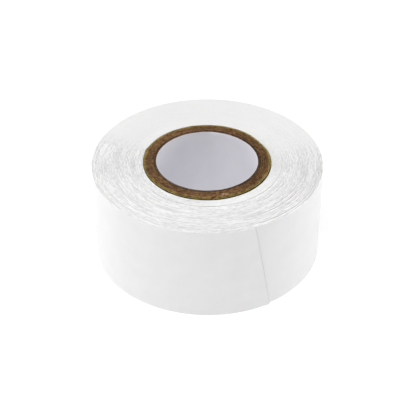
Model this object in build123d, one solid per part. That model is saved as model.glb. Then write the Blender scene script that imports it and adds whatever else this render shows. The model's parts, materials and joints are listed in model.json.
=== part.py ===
from build123d import *
import math
import os

# A roll of racket grip tape.  A band of cushioned tape and its release liner are wound together
# on a core of kraft plies.  The last few millimetres of the band lift off as the loose end.
# Lengths are in millimetres and angles in degrees.  Azimuths count from +X towards +Y.
# The core's axis is Z, the roll stands on z = 0, and the band winds outwards as azimuth grows.

# Core: one ply of pale paper inside, kraft plies, and a cover ply outside.  It is longer than
# the tape is wide, so it stands proud of the band at the top, and the cover stops a little short.
BORE_RADIUS = 12.7
CORE_WALL = 3.25
CORE_LENGTH = 25.7
COVER_LENGTH = 25.55
PAPER_PLY = 0.20
COVER_PLY = 0.28
KRAFT_PLIES = 6
GLUE_LINE = 0.02

# Each ply is a strip wound along the core, whose edges leave an open helical seam.  The azimuths
# are where the seams of the paper, the outermost kraft ply and the cover reach the top.
SEAM_GAP = 0.25
COVER_GAP = 0.5
SEAM_TWIST = 109.0
PAPER_SEAM = -36.0
OUTER_KRAFT_SEAM = 163.0
COVER_SEAM = -83.6

# Wound band
TAPE_WIDTH = 25.3
ROLL_RADIUS = 29.0
WHOLE_TURNS = 36
LINER_THICKNESS = 0.06
LAYER_GAP = 0.02
INNER_END = -83.6

# Loose end: it lifts from the fold, and its cut leans.  The liner reaches past the tape's cut.
FOLD = -94.0
FREE_END = -62.9
END_SLANT = 10.2
BUTT_GAP = 0.05
LINER_OVERHANG = 0.3

CORE_RADIUS = BORE_RADIUS + CORE_WALL
KRAFT_PLY = (CORE_WALL - PAPER_PLY - COVER_PLY - (KRAFT_PLIES + 1) * GLUE_LINE) / KRAFT_PLIES
PITCH = (ROLL_RADIUS - CORE_RADIUS) / (WHOLE_TURNS + 1)
TAPE_THICKNESS = PITCH - LINER_THICKNESS - 2 * LAYER_GAP

# The inner and outer face of each layer, counted outwards from the start of its turn.
LINER_LAYER = (0.0, LINER_THICKNESS)
TAPE_LAYER = (LINER_THICKNESS + LAYER_GAP, LINER_THICKNESS + LAYER_GAP + TAPE_THICKNESS)


def seam_cutter(inner, outer, length, gap, top_azimuth):
    """The gap where a ply's edges meet: a thin radial blade that winds up the core."""
    margin = 0.5
    height = length + 2 * margin
    turn_rate = SEAM_TWIST / CORE_LENGTH
    foot_azimuth = top_azimuth - turn_rate * (length + margin)
    blade = Pos((inner + outer) / 2, 0) * Rectangle(outer - inner + 2 * margin, gap)
    blade = Pos(0, 0, -margin) * Rot(0, 0, foot_azimuth) * blade
    return Solid.extrude_linear_with_rotation(
        blade.face(), center=(0, 0, -margin), normal=(0, 0, height), angle=turn_rate * height
    )


def ply(inner, thickness, length, gap, top_azimuth):
    """One layer of the core: a tube with its seam open."""
    outer = inner + thickness
    tube = extrude(Circle(outer) - Circle(inner), length)
    return tube - seam_cutter(inner, outer, length, gap, top_azimuth)


def core_plies():
    """Every layer of the core by name, from the paper that lines the bore to the outer cover."""
    plies = {"core_liner": ply(BORE_RADIUS, PAPER_PLY, CORE_LENGTH, SEAM_GAP, PAPER_SEAM)}
    seam_step = (OUTER_KRAFT_SEAM - PAPER_SEAM + 360) / KRAFT_PLIES
    inner = BORE_RADIUS + PAPER_PLY + GLUE_LINE
    for number in range(1, KRAFT_PLIES + 1):
        seam = PAPER_SEAM + number * seam_step
        plies[f"core_ply_{number}"] = ply(inner, KRAFT_PLY, CORE_LENGTH, SEAM_GAP, seam)
        inner += KRAFT_PLY + GLUE_LINE
    plies["core_cover"] = ply(inner, COVER_PLY, COVER_LENGTH, COVER_GAP, COVER_SEAM)
    return plies


def half_turn(index, offset):
    """Centre and radius of one half turn of the band.  Half turns start at the fold's azimuth
    and swap between two centres half a pitch apart, so that each runs smoothly into the next."""
    side = 1 if index % 2 else -1
    centre = Vector(side * PITCH / 4, 0).rotate(Axis.Z, FOLD)
    radius = CORE_RADIUS + LAYER_GAP + offset + PITCH / 4 + index * PITCH / 2
    return centre, radius


def spiral_point(index, offset, angle):
    """The point of a half turn at an angle past the fold's azimuth."""
    centre, radius = half_turn(index, offset)
    return centre + Vector(radius, 0).rotate(Axis.Z, FOLD + angle)


def spiral_arcs(offset, start, stop):
    """One face of the band from start to stop, which are angles past the fold on the core."""
    arcs = []
    for index in range(int(start // 180), math.ceil(stop / 180)):
        low = max(start, index * 180)
        high = min(stop, (index + 1) * 180)
        points = [spiral_point(index, offset, angle) for angle in (low, (low + high) / 2, high)]
        arcs.append(ThreePointArc(*points))
    return arcs


def band(layer, start, stop):
    """A stretch of one layer of the wound band, at its full width."""
    inside = spiral_arcs(layer[0], start, stop)
    outside = spiral_arcs(layer[1], start, stop)
    ends = [
        Line(inside[0] @ 0, outside[0] @ 0),
        Line(inside[-1] @ 1, outside[-1] @ 1),
    ]
    outline = Wire(inside + outside + ends)
    return extrude(Face(outline), TAPE_WIDTH, dir=(0, 0, 1))


def wound(layer):
    """The part of a layer that stays on the roll, up to the fold."""
    butt = math.degrees(BUTT_GAP / ROLL_RADIUS)
    return band(layer, INNER_END - FOLD, WHOLE_TURNS * 360 - butt)


def tail(layer, overhang):
    """The loose end of a layer, from the fold to the slanted cut."""
    spare = 10.0
    start = WHOLE_TURNS * 360
    strip = band(layer, start, start + FREE_END - FOLD + spare)
    cut_azimuth = FREE_END + math.degrees(overhang / ROLL_RADIUS)
    across = Pos(0, 0, TAPE_WIDTH / 2) * Rot(0, 0, cut_azimuth) * Rot(END_SLANT, 0, 0)
    cut = Plane(across * Rot(-90, 0, 0))
    return split(strip, bisect_by=cut, keep=Keep.BOTTOM)


def main():
    parts = core_plies()
    parts["release_liner"] = wound(LINER_LAYER)
    parts["grip_tape"] = wound(TAPE_LAYER)
    parts["liner_tail"] = tail(LINER_LAYER, LINER_OVERHANG)
    parts["tape_tail"] = tail(TAPE_LAYER, 0.0)
    os.makedirs("parts", exist_ok=True)
    for name, shape in parts.items():
        export_step(shape, f"parts/{name}.step")


main()
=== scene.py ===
import json
import math

import bpy
from mathutils import Matrix, Vector, noise


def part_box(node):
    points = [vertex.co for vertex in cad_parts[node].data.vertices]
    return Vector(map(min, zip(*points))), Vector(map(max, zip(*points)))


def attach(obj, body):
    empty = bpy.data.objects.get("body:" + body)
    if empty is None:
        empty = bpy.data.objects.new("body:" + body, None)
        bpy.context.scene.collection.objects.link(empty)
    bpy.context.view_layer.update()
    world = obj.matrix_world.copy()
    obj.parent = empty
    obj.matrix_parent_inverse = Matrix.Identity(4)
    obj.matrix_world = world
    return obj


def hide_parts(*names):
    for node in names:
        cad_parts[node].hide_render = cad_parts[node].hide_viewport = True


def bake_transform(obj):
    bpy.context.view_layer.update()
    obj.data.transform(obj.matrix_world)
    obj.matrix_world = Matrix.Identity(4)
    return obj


# The looks of a roll of racket grip tape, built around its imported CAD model.
# Shapes are worked out in millimetres and degrees, in the CAD frame, and stored in metres.
# Azimuths count from +X towards +Y.  A winding angle counts past the fold's azimuth, from the
# core outwards, so each whole turn of the band adds 360.

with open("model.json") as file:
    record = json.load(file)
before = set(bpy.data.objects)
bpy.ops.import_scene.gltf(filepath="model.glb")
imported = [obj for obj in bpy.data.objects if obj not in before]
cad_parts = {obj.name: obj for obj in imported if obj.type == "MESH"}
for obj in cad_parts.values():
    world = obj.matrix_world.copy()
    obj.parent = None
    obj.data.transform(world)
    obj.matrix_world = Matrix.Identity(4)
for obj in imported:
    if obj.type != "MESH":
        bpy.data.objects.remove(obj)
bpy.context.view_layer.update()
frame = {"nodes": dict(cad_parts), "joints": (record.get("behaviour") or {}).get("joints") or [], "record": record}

MM = 0.001


# ---------------------------------------------------------------- sizes, from the frame

def outer_radius(node):
    """Outer radius of one of the core's tubes."""
    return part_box(node)[1].x / MM


mounts = {mount["name"]: mount for mount in frame["record"]["mounts"]}
joints = {joint["name"]: joint for joint in frame["joints"]}

BORE_RADIUS = mounts["core_bore"]["dims"]["r_mm"]
CORE_LENGTH = mounts["core_bore"]["dims"]["length_mm"]
CORE_RADIUS = outer_radius("core_cover")
TAPE_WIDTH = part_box("grip_tape")[1].z / MM
HINGE = Vector(joints["tape_lift"]["pos_m"])
FOLD = math.degrees(math.atan2(HINGE.y, HINGE.x))
FOLD_RADIUS = HINGE.length / MM

KRAFT_NODES = sorted(name for name in frame["nodes"] if name.startswith("core_ply_"))
CORE_NODES = ["core_liner", *KRAFT_NODES, "core_cover"]

# The band, as the CAD model winds it
WHOLE_TURNS = 36
LINER_THICKNESS = 0.06
LAYER_GAP = 0.02
PITCH = (FOLD_RADIUS - CORE_RADIUS) / (WHOLE_TURNS + 1)
TAPE_THICKNESS = PITCH - LINER_THICKNESS - 2 * LAYER_GAP
TAPE_FOOT = LINER_THICKNESS + LAYER_GAP
INNER_END = -83.6
FREE_END = -62.9
END_SLANT = 10.2
# The liner stands past the tape's cut by this much, so that its grey shows there as a painted shadow line.
LINER_OVERHANG = 0.3

# The core's seams, as the CAD model winds them
GLUE_LINE = 0.02
SEAM_GAP = 0.25
COVER_GAP = 0.5
SEAM_TWIST = 109.0
PAPER_SEAM = -36.0
OUTER_KRAFT_SEAM = 163.0
COVER_SEAM = -83.6

# The plies' cut edges: each stops short of the core's length by its own amount, and waves.  The
# edges are bevelled, and part most from each other at one azimuth.
PLY_SHORT = 0.05
PLY_STEP = 0.06
PLY_WAVE = 0.06
PLY_RIPPLE = 0.04
PLY_BEVEL = 0.04
OPEN_PLIES = 8.0
OPEN_PLY_BEVEL = 0.06
OPEN_PLY_DROP = 0.15

# A patch near the cover's seam where the board's top layer has torn away
TORN_PATCH = -73.5
TORN_NODES = ("core_ply_4", "core_ply_5")

# The core is not quite round: it sits a little off centre, and it is kinked at two places, each
# given as azimuth, width in degrees and height in millimetres.
CORE_SHIFT = 0.12
CORE_KINKS = ((OUTER_KRAFT_SEAM, 4.5, 0.22), (34.0, 13.0, -0.30))

# The cover's top edge is cut askew, and the near-black of its face, which is painted shade, reaches a little way
# over the rim.
COVER_SKEW = 0.13
COVER_SHADE_REACH = 0.13
COVER_SHADE_DROP = 0.01

# The board behind the cover's seam is nicked: azimuth, half width in degrees and depth.
NICK = (-83.2, 1.8, 2.0)

# How the wound band settles: near the core each turn hugs the one below and climbs over the
# inner end in a short ramp, which spreads out turn by turn.  The inner end itself is pressed
# thin.  On one side the first turn stands off the core a little.
FIRST_RAMP = 0.05
RAMP_GROWTH = 0.04
PRESSED = 0.03
CORE_SHAPE_TURNS = 6.0
SLACK_SIDE = -78.0
SLACK = 0.24

# Degrees from one cross-section of the band to the next
STATION = 2.5

# Finish of the tape's cut edges, which wave a little and are more rounded where a line is open
EDGE_WAVE = 0.03
EDGE_ROUND = 0.012
OPEN_ROUND = 0.05
OPEN_DEPTH = 0.06

# The liner's edges stay inside the tape's, and drop further where a line is open.
LINER_FOOT = 0.15
LINER_SHORT = 0.03
LINER_DROP = 0.12

# The far side of the roll is wound tightest, and so are the first few turns over part of the
# near side.  There the lines close, the edges wave less, and the tape edge's streaks, with
# their painted shade, are fainter.
TIGHT_SIDE = 87.0
TIGHT_SPREAD = 65.0
TIGHT_FADE = 15.0
TIGHT_CORE_SIDE = -15.0
TIGHT_CORE_SPREAD = 70.0
TIGHT_CORE_RADIUS = 18.6
TIGHT_CLOSE = 0.95
TIGHT_LEVEL = 0.85

# Turns lie in groups of two or three.  In every GROUP_TURNS turns, those at GROUP_ENDS have an
# open line outside them, and the others a fainter one.  All lines close towards +X and -X.
GROUP_TURNS = 5
GROUP_ENDS = (0, 2)
WITHIN_GROUP = 0.4
SIDE_CLOSE = 0.7

# The loose end: its cut stands off the roll, most at the foot, and it bends past the fold.
END_LIFT = 0.10
END_LIFT_FOOT = 1.8
END_LIFT_LENGTH = 2.5

# Turns that sit low for a long way: turn number counted from the tight side, first and last
# azimuth, and depth.  They fade in and out at their ends.
LOW_TURN_FADE = 12.0
LOW_TURNS = (
    (6, -140, 8, 0.17),
    (10, -55, -8, 0.09),
    (12, -55, -4, 0.11),
    (17, -185, -138, 0.13),
    (19, -185, -134, 0.13),
    (21, -55, -4, 0.13),
    (22, -160, -125, 0.08),
    (24, -68, 2, 0.18),
    (27, -158, -108, 0.13),
    (29, -55, -12, 0.12),
    (32, -72, 8, 0.16),
    (34, -60, 6, 0.12),
)


def wave(azimuth, radius, around, across, seed):
    """Smooth noise that follows the winding: slow along a turn and quicker from turn to turn."""
    angle = math.radians(azimuth)
    point = Vector((math.cos(angle) * around, math.sin(angle) * around, radius * across))
    return noise.noise(point + Vector((seed, 3 * seed, 7 * seed)))


def smooth_step(share):
    """0 to 1 with level ends."""
    share = min(1.0, max(0.0, share))
    return share * share * (3 - 2 * share)


def core_shape(azimuth, share):
    """How far the core stands out of round.  share is 0 at its bore and 1 at its outside."""
    out = -CORE_SHIFT * math.cos(math.radians(azimuth))
    for place, width, height in CORE_KINKS:
        off = (azimuth - place + 180) % 360 - 180
        out += share * height * math.exp(-((off / width) ** 2))
    return out


def climb(angle):
    """How many pitches the band has risen at a winding angle."""
    start = INNER_END - FOLD
    if angle < start:
        return start / 360
    turns = (angle - start) / 360
    whole = math.floor(turns)
    ramp = min(1.0, FIRST_RAMP + RAMP_GROWTH * whole)
    rise = max(0.0, 1 - (1 - (turns - whole)) / ramp)
    return start / 360 + whole + rise


def winding_radius(angle):
    """Radius of the band's inner face at a winding angle."""
    azimuth = FOLD + angle
    shape = core_shape(azimuth, 1.0)
    shape += SLACK * smooth_step(math.cos(math.radians(azimuth - SLACK_SIDE)))
    shape *= math.exp(-max(0, angle) / 360 / CORE_SHAPE_TURNS)
    return CORE_RADIUS + LAYER_GAP + PITCH * climb(angle) + shape


def within(azimuth, middle, spread):
    """1 within so many degrees of an azimuth, fading to 0 outside."""
    off = abs((azimuth - middle + 180) % 360 - 180)
    return 1 - smooth_step((off - spread) / TIGHT_FADE)


def tightness(azimuth, radius):
    """1 where the turns are wound tightest, 0 on most of the roll."""
    core = within(azimuth, TIGHT_CORE_SIDE, TIGHT_CORE_SPREAD)
    core *= smooth_step((TIGHT_CORE_RADIUS - radius) / PITCH)
    return max(core, within(azimuth, TIGHT_SIDE, TIGHT_SPREAD))


def turn_number(angle):
    """Whole turns wound since the band first passed the tight side."""
    return int((FOLD + angle - TIGHT_SIDE) // 360)


def sink(angle):
    """How low the band sits at a winding angle."""
    azimuth = FOLD + angle
    turn = turn_number(angle)
    for low_turn, first, last, depth in LOW_TURNS:
        if turn == low_turn:
            inside = min((azimuth - first) % 360, (last - azimuth) % 360)
            if inside <= (last - first) % 360:
                return depth * smooth_step(inside / LOW_TURN_FADE)
    return 0.0


def openness(angle):
    """0 to 1: how open the line outside the band is at a winding angle."""
    azimuth = FOLD + angle
    radius = winding_radius(angle)
    long_line = wave(azimuth, radius, 4.0, 2.3, 6)
    short_line = wave(azimuth, radius, 16.0, 2.1, 7)
    line = smooth_step((long_line + 0.5 * short_line + 0.05) / 0.3)
    line *= 1 - TIGHT_CLOSE * tightness(azimuth, radius)
    line *= 1 - SIDE_CLOSE * math.cos(math.radians(azimuth)) ** 2
    if turn_number(angle) % GROUP_TURNS not in GROUP_ENDS:
        line *= WITHIN_GROUP
    return line


# ---------------------------------------------------------------- meshes

def point_at(radius, azimuth, height):
    """A point in metres from cylindrical millimetres and degrees."""
    angle = math.radians(azimuth)
    return (radius * math.cos(angle) * MM, radius * math.sin(angle) * MM, height * MM)


def sweep(name, rings, paints, materials):
    """A closed solid through equal rings of points, with a flat cap at each end.  paints gives
    the material number of the faces that start at each of a ring's points."""
    count = len(rings[0])
    points = [point for ring in rings for point in ring]
    faces = []
    face_paints = []
    for row in range(len(rings) - 1):
        for column in range(count):
            beside = (column + 1) % count
            low = row * count
            high = low + count
            faces.append((low + column, low + beside, high + beside, high + column))
            face_paints.append(paints[column])
    last = (len(rings) - 1) * count
    faces.append(tuple(range(count))[::-1])
    faces.append(tuple(range(last, last + count)))
    face_paints += [paints[-1], paints[-1]]
    mesh = bpy.data.meshes.new(name)
    mesh.from_pydata(points, [], faces)
    for material in materials:
        mesh.materials.append(material)
    mesh.polygons.foreach_set("material_index", face_paints)
    mesh.polygons.foreach_set("use_smooth", [True] * len(faces))
    mesh.set_sharp_from_angle(angle=math.radians(38))
    mesh.validate()
    piece = bpy.data.objects.new(name, mesh)
    bpy.context.scene.collection.objects.link(piece)
    return piece


# ---------------------------------------------------------------- materials

class Nodes:
    """Short ways to add and join the nodes of one material."""

    def __init__(self, name):
        self.material = bpy.data.materials.new(name)
        self.material.use_nodes = True
        self.tree = self.material.node_tree
        self.shader = self.tree.nodes["Principled BSDF"]
        self.place = self.add("ShaderNodeTexCoord").outputs["Object"]

    def add(self, kind, **settings):
        node = self.tree.nodes.new(kind)
        for key, value in settings.items():
            setattr(node, key, value)
        return node

    def feed(self, source, socket):
        """Joins an output to an input, or sets the input to a value."""
        if isinstance(source, bpy.types.NodeSocket):
            self.tree.links.new(source, socket)
        else:
            socket.default_value = source

    def maths(self, operation, *inputs):
        node = self.add("ShaderNodeMath", operation=operation)
        for source, socket in zip(inputs, node.inputs):
            self.feed(source, socket)
        return node.outputs[0]

    def vector(self, operation, *inputs, output=0):
        node = self.add("ShaderNodeVectorMath", operation=operation)
        for source, socket in zip(inputs, node.inputs):
            self.feed(source, socket)
        return node.outputs[output]

    def noise(self, place, scale, detail=2.0, roughness=0.5):
        node = self.add("ShaderNodeTexNoise")
        self.feed(place, node.inputs["Vector"])
        self.feed(scale, node.inputs["Scale"])
        self.feed(detail, node.inputs["Detail"])
        self.feed(roughness, node.inputs["Roughness"])
        return node.outputs["Fac"]

    def ramp(self, source, *stops):
        """Colours by share: each stop is (position, colour)."""
        node = self.add("ShaderNodeValToRGB")
        elements = node.color_ramp.elements
        while len(elements) < len(stops):
            elements.new(0.5)
        for element, (position, colour) in zip(elements, stops):
            element.position = position
            element.color = (*colour, 1.0)
        self.feed(source, node.inputs["Fac"])
        return node.outputs["Color"]

    def mix(self, share, first, second, blend="MIX"):
        node = self.add("ShaderNodeMix", data_type="RGBA", blend_type=blend)
        self.feed(share, node.inputs[0])
        self.feed(first, node.inputs[6])
        self.feed(second, node.inputs[7])
        return node.outputs[2]

    def radius(self):
        """Distance from the roll's axis, in metres."""
        flat = self.vector("MULTIPLY", self.place, (1.0, 1.0, 0.0))
        return self.vector("LENGTH", flat, output="Value")

    def around(self, along, across, upward=0.0):
        """A place that follows the winding, so that a texture runs in streaks along it."""
        flat = self.vector("MULTIPLY", self.place, (1.0, 1.0, 0.0))
        direction = self.vector("NORMALIZE", flat)
        circled = self.vector("MULTIPLY", direction, (along, along, 0.0))
        height = self.add("ShaderNodeSeparateXYZ")
        self.feed(self.place, height.inputs[0])
        radial = self.maths("MULTIPLY", self.radius(), across)
        raised = self.maths("MULTIPLY", height.outputs["Z"], upward)
        third = self.add("ShaderNodeCombineXYZ")
        self.feed(self.maths("ADD", radial, raised), third.inputs["Z"])
        return self.vector("ADD", circled, third.outputs[0])

    def toward(self, azimuth, outside, inside):
        """1 within so many degrees of an azimuth, fading to 0 outside."""
        flat = self.vector("MULTIPLY", self.place, (1.0, 1.0, 0.0))
        direction = self.vector("NORMALIZE", flat)
        angle = math.radians(azimuth)
        middle = (math.cos(angle), math.sin(angle), 0.0)
        node = self.add("ShaderNodeMapRange", interpolation_type="SMOOTHSTEP")
        self.feed(self.vector("DOT_PRODUCT", direction, middle, output="Value"), node.inputs[0])
        self.feed(math.cos(math.radians(outside)), node.inputs["From Min"])
        self.feed(math.cos(math.radians(inside)), node.inputs["From Max"])
        return node.outputs[0]

    def bump(self, height, strength, distance):
        node = self.add("ShaderNodeBump")
        self.feed(height, node.inputs["Height"])
        self.feed(strength, node.inputs["Strength"])
        self.feed(distance, node.inputs["Distance"])
        self.feed(node.outputs[0], self.shader.inputs["Normal"])

    def paint(self, colour):
        self.feed(colour, self.shader.inputs["Base Color"])

    def gloss(self, roughness, level=0.5):
        self.feed(roughness, self.shader.inputs["Roughness"])
        self.feed(level, self.shader.inputs["Specular IOR Level"])


def grey(value):
    return (value, value, value)


def tape_face_material():
    """The tape's smooth white face: faint mottling and a fine grain."""
    nodes = Nodes("tape_face")
    mottle = nodes.noise(nodes.place, 260.0, detail=3.0)
    nodes.paint(nodes.ramp(mottle, (0.3, grey(0.790)), (0.7, grey(0.815))))
    nodes.gloss(0.42)
    nodes.bump(nodes.noise(nodes.place, 5200.0, detail=2.0), 0.25, 0.00002)
    return nodes.material


def tape_edge_material():
    """The cut edge of the tape: long and short streaks along each turn, whose dark parts are
    painted shade in the lines between the turns as well as the tape's own uneven tone.  The
    streaks, and so their painted shade, are fainter where the turns are tight, and the surface
    is soft and fibrous."""
    nodes = Nodes("tape_edge")
    short = nodes.noise(nodes.around(18.0, 3800.0), 1.0, detail=1.0, roughness=0.6)
    long = nodes.noise(nodes.around(3.0, 3400.0), 1.0, detail=1.0, roughness=0.6)
    streaks = nodes.maths("MULTIPLY", nodes.maths("ADD", short, long), 0.5)
    # Dark streaks: painted shade in the lines between the turns, together with the tape's own uneven tone.
    streaks_with_line_shade = nodes.ramp(streaks, (0.41, grey(0.64)), (0.5, grey(0.765)), (0.59, grey(0.885)))
    even = nodes.ramp(streaks, (0.38, grey(0.79)), (0.62, grey(0.82)))
    far = nodes.toward(TIGHT_SIDE, TIGHT_SPREAD + TIGHT_FADE, TIGHT_SPREAD)
    core = nodes.toward(TIGHT_CORE_SIDE, TIGHT_CORE_SPREAD + TIGHT_FADE, TIGHT_CORE_SPREAD)
    inner = nodes.maths("LESS_THAN", nodes.radius(), TIGHT_CORE_RADIUS * MM)
    smooth = nodes.maths("MULTIPLY", nodes.maths("MULTIPLY", core, inner), 0.55)
    tight = nodes.maths("MAXIMUM", far, smooth)
    nodes.paint(nodes.mix(tight, streaks_with_line_shade, even))
    nodes.gloss(0.75, 0.3)
    nodes.bump(nodes.noise(nodes.around(60.0, 6000.0), 1.0, detail=3.0), 0.4, 0.00005)
    return nodes.material


def adhesive_material():
    """The sticky back of the tape."""
    nodes = Nodes("tape_back")
    patches = nodes.noise(nodes.place, 420.0, detail=3.0)
    nodes.paint(nodes.ramp(patches, (0.3, (0.74, 0.735, 0.71)), (0.7, (0.79, 0.785, 0.765))))
    nodes.gloss(0.28)
    nodes.bump(nodes.noise(nodes.place, 1500.0, detail=2.0), 0.35, 0.00004)
    return nodes.material


def liner_painted_shade_material():
    """Thin glazed release paper, painted a darker grey than the paper is: painted shade for the
    shadow line beside the loose end's cut and for the lines between the turns.
    """
    nodes = Nodes("release_paper")
    cloud = nodes.noise(nodes.place, 900.0, detail=4.0, roughness=0.65)
    # Grey: painted shade, for the shadow line at the loose end's cut and the lines between the turns.
    nodes.paint(nodes.ramp(cloud, (0.3, (0.66, 0.66, 0.65)), (0.7, (0.74, 0.74, 0.73))))
    nodes.gloss(0.35)
    nodes.bump(cloud, 0.15, 0.00002)
    return nodes.material


def kraft_material(name, dark, light, torn=False):
    """Cut kraft board: fibres that run round the ply, with dark flecks between them.  Torn board
    has a paler patch."""
    nodes = Nodes(name)
    fibres = nodes.noise(nodes.around(14.0, 2300.0, 1800.0), 1.0, detail=4.0, roughness=0.6)
    flecks = nodes.noise(nodes.place, 1900.0, detail=3.0, roughness=0.6)
    patches = nodes.noise(nodes.place, 160.0, detail=2.0)
    body = nodes.ramp(fibres, (0.35, dark), (0.65, light))
    shade = nodes.ramp(flecks, (0.35, grey(0.70)), (0.65, grey(1.15)))
    board = nodes.mix(1.0, body, shade, "MULTIPLY")
    tone = nodes.ramp(patches, (0.35, grey(0.82)), (0.65, grey(1.2)))
    board = nodes.mix(1.0, board, tone, "MULTIPLY")
    if torn:
        patch = nodes.ramp(nodes.toward(TORN_PATCH, 5.0, 2.0), (0.0, grey(0.0)), (1.0, grey(0.8)))
        frayed = nodes.ramp(flecks, (0.42, grey(0.0)), (0.56, grey(1.0)))
        patch = nodes.mix(1.0, patch, frayed, "MULTIPLY")
        board = nodes.mix(patch, board, (0.46, 0.29, 0.19, 1.0))
    nodes.paint(board)
    nodes.gloss(0.85, 0.25)
    nodes.bump(fibres, 0.6, 0.00012)
    return nodes.material


def cover_materials():
    """The core's outer cover: a near-black green face, which is painted shade for the gap between
    the core and the tape, and a golden cut edge.
    """
    face = Nodes("cover_face")
    fibres = face.noise(face.around(40.0, 3000.0, 2500.0), 1.0, detail=3.0)
    # Near-black green: painted shade in the gap between the core and the tape.
    face.paint(face.ramp(fibres, (0.3, (0.010, 0.016, 0.003)), (0.7, (0.032, 0.036, 0.009))))
    face.gloss(0.7, 0.3)
    face.bump(fibres, 0.4, 0.00006)
    edge = Nodes("cover_edge")
    fibres = edge.noise(edge.around(16.0, 1500.0), 1.0, detail=3.0, roughness=0.6)
    edge.paint(edge.ramp(fibres, (0.35, (0.24, 0.165, 0.03)), (0.65, (0.60, 0.45, 0.10))))
    edge.gloss(0.7, 0.3)
    edge.bump(fibres, 0.4, 0.00006)
    return [face.material, edge.material]


def bore_material():
    """The smooth pale paper that lines the bore."""
    nodes = Nodes("bore_paper")
    cloud = nodes.noise(nodes.place, 170.0, detail=4.0, roughness=0.55)
    nodes.paint(nodes.ramp(cloud, (0.3, (0.695, 0.685, 0.722)), (0.7, (0.730, 0.720, 0.760))))
    nodes.gloss(0.6, 0.35)
    nodes.bump(nodes.noise(nodes.place, 3800.0, detail=3.0), 0.2, 0.00003)
    return nodes.material


def floor_material():
    """A white studio sheet that is bright enough to hide all but the contact shadow."""
    nodes = Nodes("studio_sheet")
    nodes.paint((0.42, 0.42, 0.42, 1.0))
    nodes.gloss(1.0, 0.0)
    nodes.feed((1.0, 1.0, 1.0, 1.0), nodes.shader.inputs["Emission Color"])
    nodes.feed(0.616, nodes.shader.inputs["Emission Strength"])
    return nodes.material


# ---------------------------------------------------------------- the wound band

FACE, EDGE, BACK = 0, 1, 2


def tape_section(angle):
    """Outline of the tape across its width at a winding angle, as (depth, height, paint).
    Depth is measured outwards from the band's inner face, and the cut edges are rounded."""
    azimuth = FOLD + angle
    radius = winding_radius(angle)
    line = openness(angle)
    level = 1 - TIGHT_LEVEL * tightness(azimuth, radius)
    lift = EDGE_WAVE * level * wave(azimuth, radius, 2.4, 2.3, 1)
    lift += 0.5 * EDGE_WAVE * level * wave(azimuth, radius, 9.0, 2.5, 2)
    top = TAPE_WIDTH + lift - sink(angle)
    outer_round = EDGE_ROUND + OPEN_ROUND * line
    outer_drop = EDGE_ROUND + OPEN_DEPTH * line
    foot = 0.4 * EDGE_WAVE * (1 + wave(azimuth, radius, 4.0, 1.0, 5))
    low = TAPE_FOOT
    high = TAPE_FOOT + TAPE_THICKNESS
    support = 0.4
    return [
        (low, foot + EDGE_ROUND, BACK),
        (low, top - EDGE_ROUND, EDGE),
        (low + EDGE_ROUND, top, EDGE),
        ((low + high) / 2, top + EDGE_ROUND, EDGE),
        (high - outer_round, top, EDGE),
        (high, top - outer_drop, FACE),
        (high, top - support, FACE),
        (high, foot + support, FACE),
        (high, foot + EDGE_ROUND, EDGE),
        (high - EDGE_ROUND, foot, EDGE),
        (low + EDGE_ROUND, foot, EDGE),
    ]


def liner_section(angle):
    """Outline of the release liner, whose edge drops away where the lines beside it are open
    and where the tape beside it sits low."""
    top = TAPE_WIDTH - LINER_SHORT
    top -= LINER_DROP * max(openness(angle), openness(angle - 360))
    top -= max(sink(angle), sink(angle - 360))
    return [
        (0.0, LINER_FOOT, 0),
        (0.0, top, 0),
        (LINER_THICKNESS, top, 0),
        (LINER_THICKNESS, LINER_FOOT, 0),
    ]


def wound_band(name, section, materials):
    """A layer of the band from its inner end, where it is pressed thin, to the fold."""
    lead = FIRST_RAMP * 360
    start = INNER_END - FOLD - lead
    stop = WHOLE_TURNS * 360
    count = round((stop - start) / STATION)
    rings = []
    for index in range(count + 1):
        angle = start + (stop - start) * index / count
        press = min(1.0, PRESSED + (angle - start) / lead)
        radius = winding_radius(angle)
        ring = [point_at(radius + press * d, FOLD + angle, z) for d, z, paint in section(angle)]
        rings.append(ring)
    paints = [paint for d, z, paint in section(start)]
    return sweep(name, rings, paints, materials)


def with_rows(outline, rows):
    """The outline with more points up its two long sides, so that they can follow a slant."""
    finer = []
    for place, (depth, height, paint) in enumerate(outline):
        finer.append((depth, height, paint))
        next_height = outline[(place + 1) % len(outline)][1]
        if abs(next_height - height) > TAPE_WIDTH / 2:
            for row in range(1, rows):
                share = row / rows
                finer.append((depth, height + (next_height - height) * share, paint))
    return finer


def loose_end(name, section, overhang, materials):
    """A layer of the band from the fold to its slanted cut."""
    start = WHOLE_TURNS * 360
    rows = 10
    count = 24
    slope = math.tan(math.radians(END_SLANT))
    rings = []
    for index in range(count + 1):
        share = index / count
        outline = with_rows(section(start + share * (FREE_END - FOLD)), rows)
        ring = []
        for depth, height, paint in outline:
            reach = overhang - (height - TAPE_WIDTH / 2) * slope
            span = FREE_END - FOLD + math.degrees(reach / FOLD_RADIUS)
            angle = start + span * share
            to_end = math.radians(span * (1 - share)) * FOLD_RADIUS
            lift = END_LIFT * (1 - smooth_step(to_end / END_LIFT_LENGTH))
            lift *= END_LIFT_FOOT - (END_LIFT_FOOT - 1) * height / TAPE_WIDTH
            ring.append(point_at(winding_radius(angle) + depth + lift, FOLD + angle, height))
        rings.append(ring)
    paints = [paint for d, z, paint in with_rows(section(start), rows)]
    return sweep(name, rings, paints, materials)


# ---------------------------------------------------------------- the core

WALL, CUT = 0, 1


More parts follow.
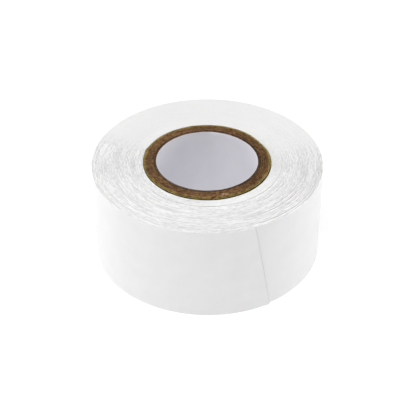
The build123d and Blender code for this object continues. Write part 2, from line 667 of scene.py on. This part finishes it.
def ply_piece(node, inner, gap, seam, materials):
    """One ply of the core, wound along a helix whose edges meet at an open seam."""
    stations = 360
    rows = 20
    outer = outer_radius(node)
    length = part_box(node)[1].z / MM
    seed = 20 + CORE_NODES.index(node)
    half_gap = math.degrees(gap / (inner + outer))
    is_cover = node == "core_cover"
    uneven = PLY_STEP * noise.noise(Vector((seed * 1.7, 0.5, 0.5)))
    rings = []
    for index in range(stations + 1):
        around = half_gap + (360 - 2 * half_gap) * index / stations
        edge = seam + around
        top = length - PLY_SHORT + uneven + PLY_WAVE * wave(edge, inner, 6.0, 0.0, seed)
        top += PLY_RIPPLE * wave(edge, inner, 22.0, 0.0, seed + 30)
        top = min(top, length)
        if is_cover:
            top += COVER_SKEW * math.sin(math.radians(edge))
        if node == KRAFT_NODES[-1]:
            place, width, depth = NICK
            off = (edge - place + 180) % 360 - 180
            top -= depth * math.exp(-((off / width) ** 4))
        opening = smooth_step(math.cos(math.radians(edge - OPEN_PLIES)))
        parted = 0.0 if is_cover else opening
        bevel = min(PLY_BEVEL + OPEN_PLY_BEVEL * parted, (outer - inner) / 4)
        drop = bevel + OPEN_PLY_DROP * parted
        heights = [bevel + (top - drop - bevel) * row / rows for row in range(rows + 1)]
        outline = [(inner, height, WALL) for height in heights]
        outline[-1] = (inner, heights[-1], CUT)
        outline += [(inner + bevel, top, CUT), ((inner + outer) / 2, top, CUT)]
        # On the cover, the face's painted shade reaches over the outer part of the top edge.
        if is_cover:
            outline += [(outer - COVER_SHADE_REACH, top - COVER_SHADE_DROP, WALL)]
        else:
            outline += [(outer - bevel, top, CUT)]
        outline += [(outer, height, WALL) for height in reversed(heights)]
        outline[-1] = (outer, heights[0], CUT)
        outline += [(outer - bevel, 0.0, CUT), (inner + bevel, 0.0, CUT)]
        ring = []
        for radius, height, paint in outline:
            azimuth = edge + SEAM_TWIST * (height - length) / CORE_LENGTH
            share = (radius - BORE_RADIUS) / (CORE_RADIUS - BORE_RADIUS)
            ring.append(point_at(radius + core_shape(azimuth, share), azimuth, height))
        rings.append(ring)
    paints = [paint for radius, height, paint in outline]
    return sweep(f"{node}_cut", rings, paints, materials)


def build_core():
    """Every ply of the core as its own piece, in place of its plain CAD tube."""
    dark = (0.062, 0.029, 0.010)
    light = (0.215, 0.112, 0.044)
    cut = kraft_material("kraft_cut", dark, light)
    torn_cut = kraft_material("kraft_torn", dark, light, torn=True)
    # The innermost ply's cut is painted darker than the other plies: painted shade at the bore's rim.
    inner_cut_painted_shade = kraft_material("kraft_cut_inner", (0.032, 0.016, 0.006), (0.120, 0.062, 0.026))
    pale_cut = kraft_material("kraft_cut_outer", (0.085, 0.048, 0.014), (0.310, 0.195, 0.060))
    seam_step = (OUTER_KRAFT_SEAM - PAPER_SEAM + 360) / len(KRAFT_NODES)
    looks = {node: ("kraft_board", [cut, cut]) for node in KRAFT_NODES}
    looks |= {node: ("kraft_board", [torn_cut, torn_cut]) for node in TORN_NODES}
    looks[KRAFT_NODES[0]] = ("kraft_board", [inner_cut_painted_shade, inner_cut_painted_shade])
    looks[KRAFT_NODES[-1]] = ("kraft_board", [pale_cut, pale_cut])
    # The bore liner's white paper has its cut edge in the innermost ply's dark brown: painted shade at the bore's
    # rim.
    looks["core_liner"] = ("white_paper", [bore_material(), inner_cut_painted_shade])
    looks["core_cover"] = ("cover_paper", cover_materials())
    inner = BORE_RADIUS
    for index, node in enumerate(CORE_NODES):
        is_cover = node == "core_cover"
        seam = COVER_SEAM if is_cover else PAPER_SEAM + index * seam_step
        slot, materials = looks[node]
        piece = ply_piece(node, inner, COVER_GAP if is_cover else SEAM_GAP, seam, materials)
        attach(piece, "roll")
        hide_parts(node)
        inner = outer_radius(node) + GLUE_LINE


def build_band():
    """The wound tape and liner, and the loose ends that run on from the fold to the slanted cut."""
    tape_materials = [tape_face_material(), tape_edge_material(), adhesive_material()]
    liner_materials = [liner_painted_shade_material()]

    tape = wound_band("wound_tape", tape_section, tape_materials)
    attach(tape, "roll")
    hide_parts("grip_tape")

    liner = wound_band("wound_liner", liner_section, liner_materials)
    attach(liner, "roll")
    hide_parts("release_liner")

    tape_end = loose_end("tape_end", tape_section, 0.0, tape_materials)
    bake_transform(tape_end)
    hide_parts("tape_tail")

    # The liner's end stands past the tape's cut, and its grey there is a painted shadow line beside the cut.
    liner_end = loose_end("liner_end", liner_section, LINER_OVERHANG, liner_materials)
    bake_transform(liner_end)
    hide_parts("liner_tail")


# ---------------------------------------------------------------- studio

def build_floor():
    """A broad white sheet under the roll."""
    reach = 3.0
    corners = [(-reach, -reach, 0), (reach, -reach, 0), (reach, reach, 0), (-reach, reach, 0)]
    mesh = bpy.data.meshes.new("studio_floor")
    mesh.from_pydata(corners, [], [(0, 1, 2, 3)])
    mesh.materials.append(floor_material())
    floor = bpy.data.objects.new("studio_floor", mesh)
    bpy.context.scene.collection.objects.link(floor)


def soft_box(name, azimuth, elevation, distance, size, power):
    """A square area light that faces the roll."""
    target = Vector((0, 0, TAPE_WIDTH / 2 * MM))
    a = math.radians(azimuth)
    e = math.radians(elevation)
    way = Vector((math.cos(a) * math.cos(e), math.sin(a) * math.cos(e), math.sin(e)))
    light = bpy.data.lights.new(name, "AREA")
    light.size = size
    light.energy = power
    lamp = bpy.data.objects.new(name, light)
    lamp.location = target + way * distance
    lamp.rotation_mode = "QUATERNION"
    lamp.rotation_quaternion = way.to_track_quat("Z", "Y")
    bpy.context.scene.collection.objects.link(lamp)


def build_lights():
    """An even white surround and five soft boxes: a low one and a raised one towards each side,
    and the key high in front."""
    world = bpy.data.worlds.new("studio")
    world.use_nodes = True
    background = world.node_tree.nodes["Background"]
    background.inputs["Color"].default_value = (1.0, 1.0, 1.0, 1.0)
    background.inputs["Strength"].default_value = 0.3
    bpy.context.scene.world = world
    soft_box("left_box", 145, 12, 0.6, 0.4, 1.77)
    soft_box("front_left_box", -165, 45, 0.6, 0.4, 1.11)
    soft_box("key_box", -105, 68, 0.6, 0.4, 1.91)
    soft_box("front_right_box", -15, 45, 0.6, 0.4, 0.36)
    soft_box("right_box", 17, 15, 0.6, 0.4, 1.71)


def build_camera():
    """A long lens, well above the roll and in front of it."""
    elevation = math.radians(37.216)
    distance = 327.06
    target = Vector((0.15, 0.0, 10.68))
    back = Vector((0, -math.cos(elevation), math.sin(elevation)))
    data = bpy.data.cameras.new("camera")
    data.sensor_width = 36.0
    data.lens = 110.55
    camera = bpy.data.objects.new("camera", data)
    camera.location = (target + back * distance) * MM
    tilt = Matrix.Rotation(math.radians(90) - elevation, 4, "X")
    roll = Matrix.Rotation(math.radians(0.207), 4, "Z")
    camera.rotation_mode = "QUATERNION"
    camera.rotation_quaternion = (tilt @ roll).to_quaternion()
    bpy.context.scene.collection.objects.link(camera)
    bpy.context.scene.camera = camera


build_core()
build_band()
build_floor()
build_lights()
build_camera()
bpy.context.scene.view_settings.view_transform = "Standard"
